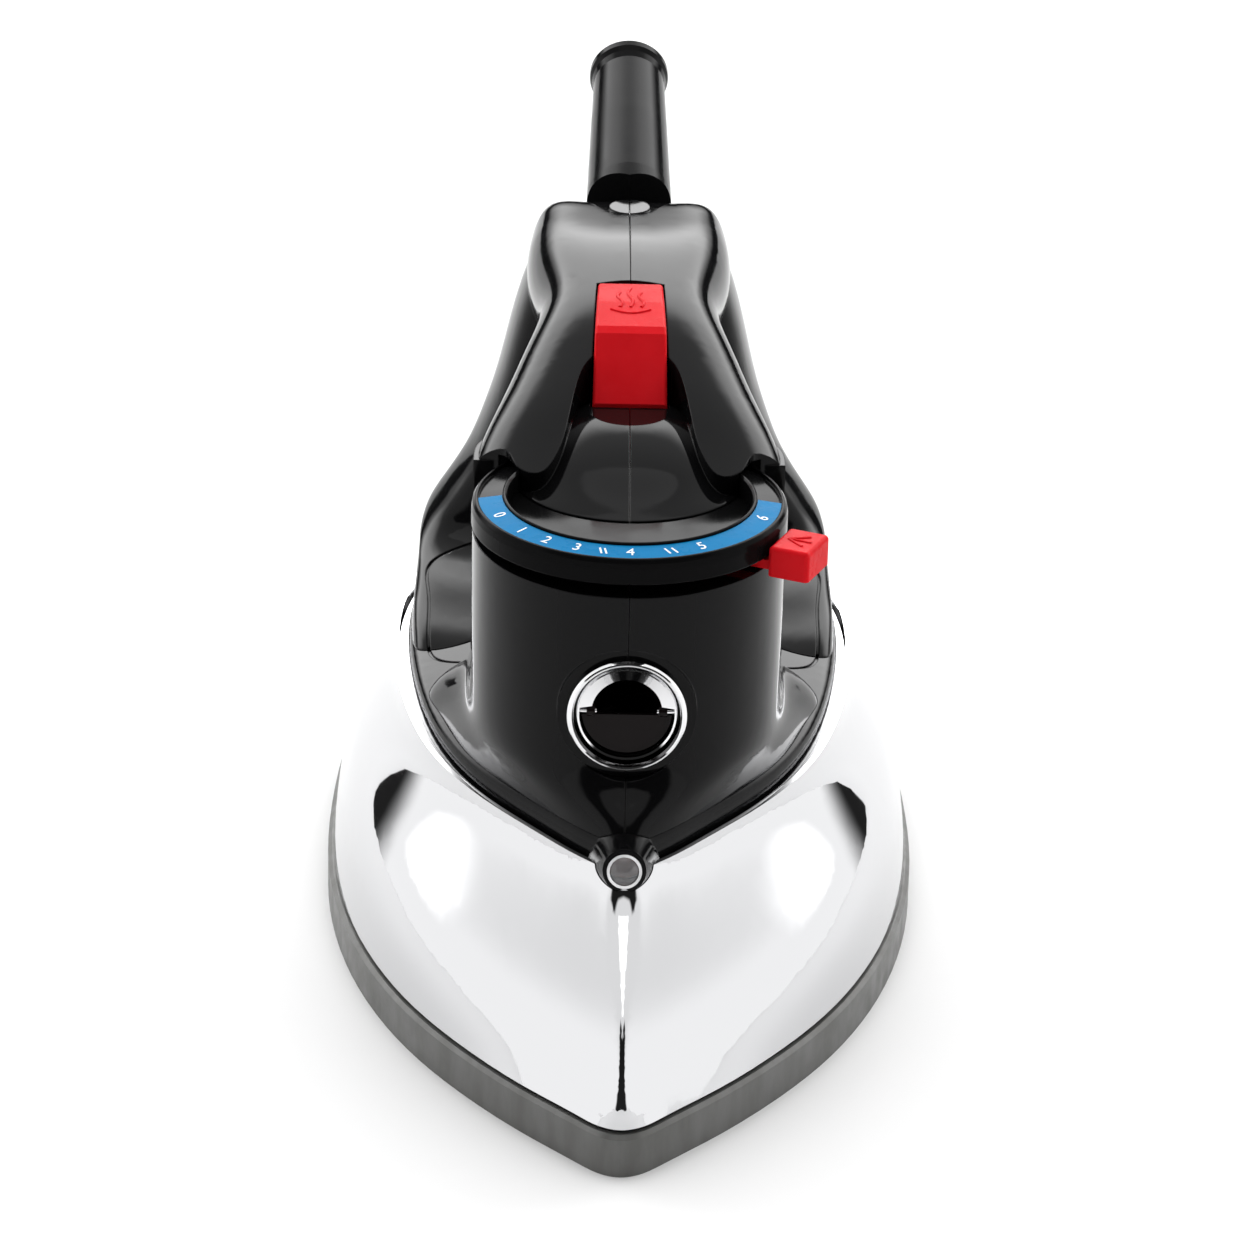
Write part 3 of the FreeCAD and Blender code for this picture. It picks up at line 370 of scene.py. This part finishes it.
def make_steam_sign(material):
    """Three rising wisps over a shallow dish, raised on top of the steam button."""
    foot = STEAM_SIGN_NEAR + DISH_GAP
    shares = [step / SIGN_STEPS for step in range(SIGN_STEPS + 1)]
    paths = []
    for middle, reach in WISPS:
        length = (STEAM_SIGN_LENGTH - DISH_GAP) * reach
        paths.append([(middle + math.sin(share * 2 * math.pi) * WISP_SWING, foot + share * length)
                      for share in shares])
    paths.append([(across * DISH_HALF, STEAM_SIGN_NEAR + DISH_HEIGHT * across * across)
                  for across in (share * 2 - 1 for share in shares)])
    raised_lines("steam_sign", paths, STEAM_LINE, "steam_button", "steam_control", material)


def make_lever_sign(material):
    """Pointer raised on top of the lever's tab."""
    turn = Matrix.Translation(DIAL_AXIS) @ Matrix.Rotation(LEVER_ANGLE, 4, "Z")

    def on_tab(across, inwards):
        spot = turn @ Vector((across * MM, inwards * MM - LEVER_SIGN_RADIUS, 0))
        return (spot.x, spot.y)

    paths = [[on_tab(across, inwards) for across, inwards in line] for line in POINTER]
    raised_lines("lever_sign", paths, LEVER_LINE, "temp_lever", "temp_control", material)


# ---- spring under the steam button ----------------------------------------------------------------
SPRING_TURNS = 6.5
SPRING_CLOSED_TURNS = 0.6         # at each end, without any rise
SPRING_WIRE = 0.45 * MM           # radius of the wire
SPRING_STEPS = 200


def make_return_spring(material):
    """Coil with closed ends round the valve rod."""
    low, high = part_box("button_spring")
    middle = (low + high) / 2
    radius = (high.x - low.x) / 2 - SPRING_WIRE
    rise = high.z - low.z - 2 * SPRING_WIRE
    points = []
    for step in range(SPRING_STEPS + 1):
        turns = step / SPRING_STEPS * SPRING_TURNS
        share = (turns - SPRING_CLOSED_TURNS) / (SPRING_TURNS - 2 * SPRING_CLOSED_TURNS)
        angle = turns * 2 * math.pi
        points.append((middle.x + radius * math.cos(angle), middle.y + radius * math.sin(angle),
                       low.z + SPRING_WIRE + rise * min(1, max(0, share))))
    piece = finish_piece("return_spring", tube_mesh([points], SPRING_WIRE), "body", material)
    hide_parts("button_spring")
    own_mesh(piece)


# ---- floor, light and world -----------------------------------------------------------------------
FLOOR_SIZE = 12
LIGHT_PLACE = Vector((0, 0.15, 1.6))
LIGHT_TARGET = Vector((0, 0.05, 0))
LIGHT_SIZE = 1.2
LIGHT_WATTS = 4

# Brightness of the surroundings. Each zone runs over a range of a direction's parts, which go from
# -1 to 1 to the right, to the back and up.
TENT_LEVEL = 1.45
ZENITH_DROP = 0.28                # how much dimmer the top of the tent is
WALL_BOOST = 4.2                  # how much brighter the back wall is
DARK_SHARE = 0.985                # of the light that the dark zones take away
BELOW_FLOOR = -0.3


def make_floor():
    bpy.ops.mesh.primitive_plane_add(size=FLOOR_SIZE, location=(0, 0, 0))
    floor = bpy.context.object
    floor.name = "floor"
    finish = Finish("floor_white", (0.86, 0.86, 0.86), 0.6, Specular_IOR_Level=0.1)
    finish.vary_roughness(3, 0.55, 0.7)
    floor.data.materials.append(finish.material)


def make_overhead_light():
    data = bpy.data.lights.new("overhead", "AREA")
    data.shape = "RECTANGLE"
    data.size = data.size_y = LIGHT_SIZE
    data.energy = LIGHT_WATTS
    light = new_object("overhead", data)
    light.location = LIGHT_PLACE
    light.rotation_euler = (LIGHT_TARGET - LIGHT_PLACE).to_track_quat("-Z", "Y").to_euler()


class Sky:
    """Builds the studio's surroundings as brightness against direction."""

    def __init__(self, tree):
        self.nodes, self.links = tree.nodes, tree.links
        coords = self.nodes.new("ShaderNodeTexCoord")
        split = self.nodes.new("ShaderNodeSeparateXYZ")
        self.links.new(coords.outputs["Generated"], split.inputs["Vector"])
        self.right, self.back, self.up = split.outputs

    def math(self, operation, *values):
        node = self.nodes.new("ShaderNodeMath")
        node.operation = operation
        for socket, value in zip(node.inputs, values):
            if isinstance(value, (int, float)):
                socket.default_value = value
            else:
                self.links.new(value, socket)
        return node.outputs["Value"]

    def step(self, value, low, high):
        """0 below low and 1 above high, with a soft edge between."""
        node = self.nodes.new("ShaderNodeMapRange")
        node.interpolation_type = "SMOOTHSTEP"
        node.inputs["From Min"].default_value = low
        node.inputs["From Max"].default_value = high
        self.links.new(value, node.inputs["Value"])
        return node.outputs["Result"]

    def band(self, value, low, high, soft):
        """1 between low and high, with soft edges that wide to each side."""
        rise = self.step(value, low - soft, low + soft)
        fall = self.step(value, high - soft, high + soft)
        return self.math("SUBTRACT", rise, fall)

    def times(self, first, *others):
        for other in others:
            first = self.math("MULTIPLY", first, other)
        return first

    def rest(self, value):
        return self.math("SUBTRACT", 1, value)


def make_world():
    """White tent with a dark gap at the front, dark flags low at the back and a bright back wall."""
    world = bpy.data.worlds.new("studio")
    bpy.context.scene.world = world
    world.use_nodes = True
    background = world.node_tree.nodes["Background"]
    sky = Sky(world.node_tree)
    front = sky.times(sky.back, -1)
    spread_out = sky.math("SUBTRACT", sky.math("ABSOLUTE", sky.right), sky.times(sky.up, 0.2))
    gap = sky.times(sky.step(front, 0.12, 0.22), sky.band(sky.up, BELOW_FLOOR, 0.84, 0.03),
                    sky.rest(sky.step(spread_out, 0.56, 0.7)))
    flags = sky.times(sky.step(sky.back, 0.6, 0.72), sky.band(sky.up, BELOW_FLOOR, 0.16, 0.05))
    wall = sky.times(sky.step(sky.back, 0.3, 0.65), sky.band(sky.up, 0.26, 0.64, 0.07))
    zenith = sky.step(sky.up, 0.3, 0.65)
    level = sky.math("SUBTRACT", TENT_LEVEL, sky.times(zenith, ZENITH_DROP))
    level = sky.math("ADD", level, sky.times(wall, WALL_BOOST))
    shade = sky.rest(sky.times(sky.math("MAXIMUM", gap, flags), DARK_SHARE))
    sky.links.new(sky.times(level, shade), background.inputs["Strength"])
    background.inputs["Color"].default_value = (1, 1, 1, 1)


make_camera()
MATERIALS = make_materials()
dress_cad_nodes(MATERIALS)
make_scale_marks(MATERIALS["white_print"])
make_steam_sign(MATERIALS["red_plastic"])
make_lever_sign(MATERIALS["red_plastic"])
make_return_spring(MATERIALS["steel"])
make_floor()
make_overhead_light()
make_world()
bpy.context.scene.view_settings.view_transform = "Standard"
